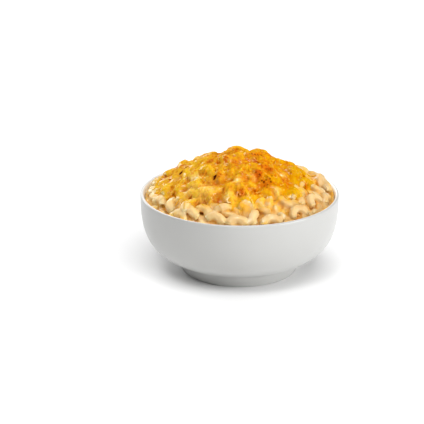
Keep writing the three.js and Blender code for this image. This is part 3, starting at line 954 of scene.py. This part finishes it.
def blurred(height, reach):
    """The height map averaged over a square of a reach either way, twice."""
    cells = int(round(reach / VOXEL))
    for axis in (0, 1, 0, 1):
        widths = [(cells + 1, cells) if a == axis else (0, 0) for a in (0, 1)]
        padded = np.pad(height, widths, "edge")
        total = np.cumsum(padded, axis=axis)
        span = 2 * cells + 1
        ahead = np.take(total, np.arange(span, total.shape[axis]), axis=axis)
        behind = np.take(total, np.arange(0, total.shape[axis] - span), axis=axis)
        height = (ahead - behind) / span
    return height


def map_at(height, axes, points):
    """A height map's values at points, by the nearest column."""
    column = [
        np.clip(np.rint((points[:, a] - axes[a][0]) / VOXEL).astype(int), 0, len(axes[a]) - 1)
        for a in (0, 1)
    ]
    return height[tuple(column)]


def segment_distance(points, start, end):
    along = end - start
    t = np.clip(((points - start) @ along) / along.dot(along), 0.0, 1.0)
    return np.linalg.norm(points - start - t[..., None] * along, axis=-1)


def draped(height, reach, sink, stand):
    """The height at which a strand lies, which reaches over the narrow hollows."""
    return np.maximum(blurred(height, reach), height - sink) + stand


def strand_path(r, angle, heading, curl, length, drape, axes):
    """Points along one strand, which lies on a drape and curls evenly."""
    place = np.array([r * math.cos(angle), r * math.sin(angle)])
    path = []
    for _ in range(int(length / SHRED_STEP)):
        path.append(place)
        place = place + SHRED_STEP * np.array([math.cos(heading), math.sin(heading)])
        heading += curl * SHRED_STEP
    path = np.array(path)
    return np.column_stack([path, map_at(drape, axes, path)])


def shred_path(i, drape, axes):
    """One shred, anywhere on the cheese."""
    r = SHRED_SPREAD_RADIUS * math.sqrt((i + 0.5) / SHREDS)
    angle = i * GOLDEN_ANGLE + stray(i, 31, SHRED_ANGLE_SPREAD)
    heading = draw(i, 32, 0.0, 2.0 * math.pi)
    if draw(i, 33, 0.0, 1.0) < SHRED_OUTWARDS * r / CHEESE_RADIUS:
        heading = angle + stray(i, 34, SHRED_HEADING_SPREAD)
    curl = stray(i, 35, SHRED_CURL)
    length = draw(i, 36, *SHRED_LENGTH)
    return strand_path(r, angle, heading, curl, length, drape, axes)


def string_path(i, drape, axes):
    """One string, from the cheese's edge outwards and mostly on the left."""
    first, spread = STRING_BEARINGS
    angle = math.radians(first + spread * (i + 0.5) / STRINGS)
    if i % 4 == 3:
        angle += math.pi
    r = float(cheese_reach(angle)) - draw(i, 51, *STRING_START)
    heading = angle + stray(i, 52, STRING_SPREAD)
    curl = stray(i, 53, STRING_CURL)
    length = draw(i, 54, *STRING_LENGTH)
    return strand_path(r, angle, heading, curl, length, drape, axes)


def strands_of(drape, pasta_drape, axes):
    """Each shred's and string's path, radius and limit."""
    for i in range(SHREDS):
        radius = draw(i, 37, *SHRED_RADIUS)
        yield shred_path(i, drape, axes), radius, SHRED_LIMIT
    for i in range(STRINGS):
        radius = draw(i, 55, *STRING_RADIUS)
        yield string_path(i, pasta_drape, axes), radius, STRING_LIMIT


def shred_distance(axes, drape, pasta_drape):
    """Distance to the nearest shred or string, on the grid."""
    nearest = np.full([len(axis) for axis in axes], 9.0, dtype=np.float32)
    for path, girth, limit in strands_of(drape, pasta_drape, axes):
        for k in range(len(path) - 1):
            start, end = path[k], path[k + 1]
            if inside_cheese(*start[:2]) < limit or np.hypot(*end[:2]) > STRAND_REACH:
                break
            low = np.minimum(start, end) - girth - 2.0
            high = np.maximum(start, end) + girth + 2.0
            spans = tuple(
                slice(*np.searchsorted(axis, ends)) for axis, ends in zip(axes, zip(low, high))
            )
            box = np.meshgrid(*(axis[span] for axis, span in zip(axes, spans)), indexing="ij")
            points = np.stack(box, axis=-1).astype(np.float32)
            share = min(1.0, STRAND_TIP + STRAND_SWELL * min(k, len(path) - 2 - k))
            distance = segment_distance(points, start, end) - girth * share
            nearest[spans] = np.minimum(nearest[spans], distance)
    return nearest


def cheese_solid(axes, x, y, over, cheese, wall, sauce_top):
    coat, sheet = cheese_thickness(x, y)
    solid = cheese - coat[..., None]
    sagging = (over + sheet[..., None]) / SHEET_BLEND
    solid = -SHEET_BLEND * np.logaddexp(-solid / SHEET_BLEND, -sagging)
    height = top_surface(solid, axes)
    pasta_drape = draped(np.maximum(height, sauce_top), *STRING_DRAPE)
    shreds = shred_distance(axes, draped(height, *SHRED_DRAPE), pasta_drape)
    solid = -SHRED_BLEND * np.logaddexp(-solid / SHRED_BLEND, -shreds / SHRED_BLEND)
    under = -(over + CHEESE_UNDERSIDE)
    outside = -(inside_cheese(x, y) + 20.0)[..., None]
    solid = np.maximum(np.maximum(solid, under), np.maximum(wall + WALL_CLEARANCE, outside))
    return solid, height - blurred(height, RELIEF_REACH)


# ---- Materials


class Nodes:
    """Short names for making and joining shader nodes."""

    def __init__(self, name):
        self.material = bpy.data.materials.new(name)
        self.material.use_nodes = True
        self.tree = self.material.node_tree
        self.shader = self.tree.nodes["Principled BSDF"]

    def fill(self, socket, value):
        """Sets a socket to a number or a colour, or joins another socket to it."""
        if isinstance(value, (int, float)):
            socket.default_value = value
        elif isinstance(value, tuple):
            socket.default_value = value + (1.0,) * (len(socket.default_value) - len(value))
        else:
            self.tree.links.new(value, socket)

    def add(self, kind, inputs=None, **settings):
        node = self.tree.nodes.new(kind)
        for key, value in settings.items():
            setattr(node, key, value)
        for key, value in (inputs or {}).items():
            self.fill(node.inputs[key], value)
        return node

    def coordinates(self):
        return self.add("ShaderNodeTexCoord").outputs["Object"]

    def value(self, name):
        """One of the mesh's attributes, or the place across the serving, in millimetres."""
        if name == "across":
            split = self.add("ShaderNodeSeparateXYZ", {"Vector": self.coordinates()})
            return self.math("DIVIDE", split.outputs["X"], MM)
        return self.add("ShaderNodeAttribute", attribute_name=name).outputs["Fac"]

    def noise(self, scale, detail=3.0, roughness=0.5):
        inputs = {"Scale": scale, "Detail": detail, "Roughness": roughness}
        inputs["Vector"] = self.coordinates()
        return self.add("ShaderNodeTexNoise", inputs).outputs["Fac"]

    def ramp(self, factor, *stops):
        node = self.add("ShaderNodeValToRGB", {"Fac": factor})
        band = node.color_ramp
        band.elements[0].position, band.elements[0].color = stops[0][0], (*stops[0][1], 1.0)
        band.elements[1].position, band.elements[1].color = stops[-1][0], (*stops[-1][1], 1.0)
        for position, color in stops[1:-1]:
            band.elements.new(position).color = (*color, 1.0)
        return node.outputs["Color"]

    def remap(self, value, low, high, to_low=0.0, to_high=1.0):
        inputs = {"From Min": low, "From Max": high, "To Min": to_low, "To Max": to_high}
        inputs["Value"] = value
        return self.add("ShaderNodeMapRange", inputs).outputs["Result"]

    def math(self, operation, a, b):
        return self.add("ShaderNodeMath", {0: a, 1: b}, operation=operation).outputs["Value"]

    def mix(self, factor, a, b):
        node = self.add("ShaderNodeMix", data_type="RGBA")
        sockets = [s for s in node.inputs if s.enabled]
        for socket, value in zip(sockets, (factor, a, b)):
            self.fill(socket, value)
        return [s for s in node.outputs if s.enabled][0]

    def cover(self, color, *layers):
        """Mixes colours over one another: a value, its low and high, the shares there, a colour."""
        for name, low, high, least, most, over in layers:
            share = self.remap(self.value(name), low, high, least, most)
            color = self.mix(share, color, over)
        return color

    def bump(self, height, distance, strength=1.0):
        inputs = {"Strength": strength, "Distance": distance, "Height": height}
        self.set(Normal=self.add("ShaderNodeBump", inputs).outputs["Normal"])

    def set(self, **values):
        for key, value in values.items():
            self.fill(self.shader.inputs[key.replace("_", " ")], value)


def porcelain_material():
    n = Nodes("porcelain_glaze")
    # Outside: the white glaze given a mid grey, painted shade over the whole outside, with a little
    # random tone
    glaze = n.ramp(n.noise(9.0), (0.3, (0.445, 0.445, 0.432)), (0.7, (0.475, 0.475, 0.461)))
    # Inner wall and lip near white, painted light: one glaze shown as a shaded outside and a lit
    # inside
    color = n.mix(n.value("inside"), glaze, (0.9, 0.9, 0.89))
    n.set(Base_Color=color, Roughness=0.34, Coat_Weight=0.25, Coat_Roughness=0.12)
    n.bump(n.noise(60.0, 2.0), 0.0002, 0.25)
    return n.material


def pasta_material():
    n = Nodes("sauced_pasta")
    body = n.ramp(
        n.noise(95.0, 4.0, 0.6),
        (0.32, (0.52, 0.285, 0.08)),
        (0.5, (0.61, 0.395, 0.152)),
        (0.66, (0.70, 0.52, 0.265)),
    )
    color = n.cover(
        body,
        # Lighter towards the left is painted light, darker towards the right is painted shade
        ("across", -70.0, 35.0, 0.7, 0.0, (0.92, 0.69, 0.32)),
        ("across", 55.0, 85.0, 0.0, 0.8, (0.58, 0.38, 0.16)),
        # By relief: lighter tops are painted highlights, deeper orange hollows and darker deep gaps
        # are painted shade
        ("relief", 0.6, 3.0, 0.0, 0.32, (0.76, 0.57, 0.31)),
        ("relief", 0.4, -2.2, 0.0, 1.0, (0.66, 0.34, 0.075)),
        ("relief", -3.5, -8.0, 0.0, 1.0, (0.52, 0.20, 0.03)),
    )
    stain = n.math("MULTIPLY", n.value("glaze"), n.remap(n.noise(160.0, 4.0), 0.35, 0.6))
    color = n.mix(stain, color, (0.80, 0.42, 0.03))
    n.set(Base_Color=color, Coat_Weight=n.remap(n.noise(190.0), 0.50, 0.60))
    n.set(Roughness=0.36, Specular_IOR_Level=0.2, Coat_Roughness=0.14, Coat_IOR=1.55)
    n.set(Subsurface_Weight=0.75, Subsurface_Scale=0.0035, Subsurface_Radius=(1.0, 0.85, 0.65))
    n.bump(n.noise(420.0), 0.0005, 0.5)
    return n.material


def cheese_material():
    n = Nodes("melted_cheese")
    mottle = n.math("ADD", n.noise(38.0), n.noise(230.0, 3.0, 0.6))
    patches = n.ramp(
        n.math("MULTIPLY", mottle, 0.5),
        (0.40, (0.52, 0.12, 0.0005)),
        (0.5, (0.61, 0.24, 0.001)),
        (0.60, (0.69, 0.36, 0.0015)),
    )
    # Colour of the tops: lighter, a painted highlight, and darker towards the right, painted shade
    tops = n.cover((0.72, 0.42, 0.01), ("across", 10.0, 50.0, 0.0, 1.0, (0.56, 0.31, 0.003)))
    color = n.cover(
        patches,
        # Lighter towards the left is painted light, darker towards the right is painted shade
        ("across", -70.0, 30.0, 0.5, 0.0, (0.88, 0.56, 0.05)),
        ("across", 10.0, 55.0, 0.0, 0.75, (0.54, 0.255, 0.001)),
        # By relief: lighter tops are painted highlights, darker orange hollows are painted shade
        ("relief", 0.0, 2.2, 0.0, 0.5, tops),
        ("relief", 0.2, -2.2, 0.0, 0.7, (0.53, 0.125, 0.0005)),
        ("edge", 3.0, -3.0, 0.0, 0.75, (0.78, 0.43, 0.03)),
        # Thin light-coloured cheese, and near white where strongest: painted highlights
        ("pale", 0.0, 1.0, 0.0, 1.0, (0.84, 0.57, 0.13)),
        ("pale", 0.75, 1.0, 0.0, 0.8, (0.95, 0.84, 0.55)),
        ("brown", 0.0, 1.0, 0.0, 1.0, (0.52, 0.105, 0.004)),
        ("speck", 0.0, 1.0, 0.0, 1.0, (0.075, 0.006, 0.001)),
    )
    dulled = n.math("MAXIMUM", n.value("speck"), n.math("MULTIPLY", n.value("brown"), 0.6))
    oily = n.remap(n.noise(150.0), 0.55, 0.62)
    oily = n.math("MULTIPLY", oily, n.remap(dulled, 0.1, 0.5, 1.0, 0.0))
    n.set(Base_Color=color, Coat_Weight=oily)
    n.set(Roughness=0.4, Specular_IOR_Level=0.0, Coat_Roughness=0.1, Coat_IOR=1.5)
    n.set(Subsurface_Weight=0.4, Subsurface_Scale=0.003, Subsurface_Radius=(1.0, 0.4, 0.05))
    n.bump(n.noise(450.0, 4.0, 0.65), 0.0008, 0.6)
    return n.material


def floor_material():
    n = Nodes("floor")
    n.set(Base_Color=(0.9, 0.9, 0.9), Roughness=0.9, Specular_IOR_Level=0.1)
    return n.material


# ---- Stage


def make_camera():
    elevation = math.radians(CAMERA_ELEVATION)
    back = Vector((0.0, -math.cos(elevation), math.sin(elevation)))
    right = Vector((1.0, 0.0, 0.0))
    up = back.cross(right)
    half = IMAGE_SIZE / 2.0
    forward = -back - right * ((TARGET_PX[0] - half) / FOCAL_PX)
    forward += up * ((TARGET_PX[1] - half) / FOCAL_PX)
    data = bpy.data.cameras.new("camera")
    data.sensor_width = SENSOR
    data.lens = FOCAL_PX * SENSOR / IMAGE_SIZE
    camera = new_object("camera", data)
    camera.location = TARGET + back * CAMERA_DISTANCE
    camera.rotation_euler = forward.to_track_quat("-Z", "Y").to_euler()
    bpy.context.scene.camera = camera


def make_floor():
    far = FLOOR_REACH
    corners = [(-far, -far, 0), (far, -far, 0), (far, far, 0), (-far, far, 0)]
    floor = new_mesh("floor", corners, [(0, 1, 2, 3)], smooth=False)
    floor.data.materials.append(floor_material())
    floor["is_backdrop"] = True


def broad_light(name, bearing, elevation, width, strength):
    """An even, soft light from far off; the bearing turns right from the front, in degrees."""
    data = bpy.data.lights.new(name, "SUN")
    data.angle = math.radians(width)
    data.energy = strength
    turn, rise = math.radians(bearing), math.radians(elevation)
    level = math.cos(rise)
    source = Vector((math.sin(turn) * level, -math.cos(turn) * level, math.sin(rise)))
    lamp = new_object(name, data)
    lamp.location = TARGET + source
    lamp.rotation_euler = source.to_track_quat("Z", "Y").to_euler()


def make_lights():
    for row in LIGHTS:
        broad_light(*row)
    world = bpy.data.worlds.new("world")
    world.use_nodes = True
    background = world.node_tree.nodes["Background"]
    background.inputs["Color"].default_value = (1.0, 1.0, 1.0, 1.0)
    background.inputs["Strength"].default_value = WORLD_STRENGTH
    bpy.context.scene.world = world
    view = bpy.context.scene.view_settings
    view.view_transform = "Standard"
    view.look = "None"


# ---- Pieces


def make_bowl():
    bowl = turned("porcelain_bowl", bowl_profile(), BOWL_TURNS)
    points = np.empty(len(bowl.data.vertices) * 3)
    bowl.data.vertices.foreach_get("co", points)
    x, y, z = points.reshape(-1, 3).T / MM
    # Mask of the inner wall and lip, which the material paints lighter than the outside: painted
    # light inside, painted shade outside
    over_foot = smooth_step(FOOT_HEIGHT, FOOT_HEIGHT + FILLET, z)
    depth = np.clip(BOWL_HEIGHT - z, 0.0, BELLY_DEPTH)
    outer_radius = np.array([belly_radius(d) for d in depth])
    depth_in = outer_radius - np.hypot(x, y)
    inwards = smooth_step(0.25 * LIP_THICKNESS, 0.75 * LIP_THICKNESS, depth_in)
    add_attribute(bowl, "inside", inwards * over_foot)
    bowl.data.materials.append(porcelain_material())
    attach(bowl, "root")
    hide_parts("bowl")


def glaze_at(points):
    """Thin melted cheese that stains the pasta round the sheet, and further out on the left."""
    x, y = points[:, 0], points[:, 1]
    left = towards(np.arctan2(y, x), GLAZE_BEARING) ** 3
    uneven = field_noise(points, *GLAZE_NOISE)
    reach = GLAZE_REACH + GLAZE_REACH_LEFT * left
    melted = smooth_step(-reach, 2.0, inside_cheese(x, y) + 4.0 * uneven)
    baked = smooth_step(*BAKED, np.hypot(x, y) + 1.5 * uneven)
    return np.maximum(melted, baked)


def add_looks(obj, points, axes, middle_height):
    """What the pasta's material reads of each point: relief for its painted light and shade, and
    stain.
    """
    add_attribute(obj, "relief", points[:, 2] - map_at(middle_height, axes, points))
    add_attribute(obj, "glaze", glaze_at(points))


def make_macaroni(outer, under, axes, middle_height, material):
    points, quads, total = [], [], 0
    for group, first in ((outer, 0), (under, FIRST_UNDER)):
        for k in range(len(group[3])):
            piece = tuple(part[k] for part in group)
            if inside_cheese(piece[0][0], piece[0][1]) > COVERED:
                continue
            own_points, own_quads = tube_mesh_arrays(piece, first + k)
            points.append(own_points)
            quads.append(own_quads + total)
            total += len(own_points)
    points = np.vstack(points)
    macaroni = new_mesh("macaroni_elbows", points, np.vstack(quads))
    add_looks(macaroni, points, axes, middle_height)
    macaroni.data.materials.append(material)
    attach(macaroni, "root")
    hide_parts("macaroni")


def make_sauce(axes, solid, cheese, middle_height, material):
    points, triangles = visible_surface(solid, cheese, axes, HIDDEN_DEPTH)
    obj = new_mesh("cream_sauce", points, triangles)
    add_looks(obj, points, axes, middle_height)
    obj.data.materials.append(material)
    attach(obj, "root")
    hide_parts("macaroni")


def near_spots(points, spots, wobble):
    """How near each point is to the nearest of some spots, from 0 to 1."""
    near = np.zeros(len(points))
    for spot_x, spot_y, spread, strength in spots:
        away = np.hypot(points[:, 0] - spot_x, points[:, 1] - spot_y) / spread
        near = np.maximum(near, strength * np.exp(-((away * (1.0 + wobble)) ** 2)))
    return near


def make_cheese(axes, solid, sauce, relief_map):
    points, triangles = visible_surface(solid, sauce, axes, CHEESE_UNDERSIDE - VOXEL)
    obj = new_mesh("melted_cheese_sheet", points, triangles)
    relief = map_at(relief_map, axes, points)
    inside = inside_cheese(points[:, 0], points[:, 1])
    broad = field_noise(points, *BROWN_BROAD)
    fine = field_noise(points, *BROWN_FINE)
    tops = smooth_step(-1.5, 2.0, relief)
    browned = near_spots(points, BROWNED, 0.5 * broad + 0.5 * fine)
    browned = smooth_step(0.1, 0.8, (browned + 0.15 * broad) * (0.6 + 0.5 * tops) + 0.4 * fine)
    burnt = near_spots(points, SPECKS, 0.5 * fine)
    inner = smooth_step(2.0, 25.0, inside)
    freckles = 0.5 * inner * smooth_step(0.15, 0.5, field_noise(points, *FRECKLES))
    browned = np.maximum(browned, freckles)
    grains = 0.55 * smooth_step(0.29, 0.43, field_noise(points, *GRAINS) * (0.2 + browned))
    # Small light dots all over the cheese: painted highlights
    highlight_flecks = 0.4 * smooth_step(0.3, 0.6, field_noise(points, *HIGHLIGHT_FLECKS))
    # Thin light-coloured cheese at the listed spots, near white at the strongest as painted
    # highlights
    pale = np.maximum(near_spots(points, PALE_AND_HIGHLIGHTS, 0.4 * fine), highlight_flecks)
    add_attribute(obj, "relief", relief)
    add_attribute(obj, "brown", browned)
    add_attribute(obj, "speck", np.maximum(smooth_step(0.3, 0.6, burnt), grains))
    add_attribute(obj, "pale", pale)
    add_attribute(obj, "edge", inside + 5.0 * broad)
    obj.data.materials.append(cheese_material())
    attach(obj, "root")
    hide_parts("melted_cheese")


make_camera()
make_floor()
make_lights()
make_bowl()
outer = settle(*outer_pieces(), (0.0, SHELL_DEPTH), SETTLING_STEPS)
on_top = stacked([make_piece(*row) for row in ON_TOP])
outer = tuple(np.concatenate(parts) for parts in zip(outer, on_top))
under = under_pieces(outer)
axes, grid_x, grid_y, over, sauce, cheese, wall = build_fields(outer, under)
sauce = sauce_solid(axes, grid_x, grid_y, sauce, wall)
sauce_top = top_surface(sauce, axes)
cheese, cheese_relief = cheese_solid(axes, grid_x, grid_y, over, cheese, wall, sauce_top)
middle_height = blurred(sauce_top, RELIEF_REACH)
pasta = pasta_material()
make_sauce(axes, sauce, cheese, middle_height, pasta)
make_macaroni(outer, under, axes, middle_height, pasta)
make_cheese(axes, cheese, sauce, cheese_relief)

sizes = {"cad": CAD_BOUNDS, "visual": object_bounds()}
{name: [list(corner) for corner in box] for name, box in sizes.items()}
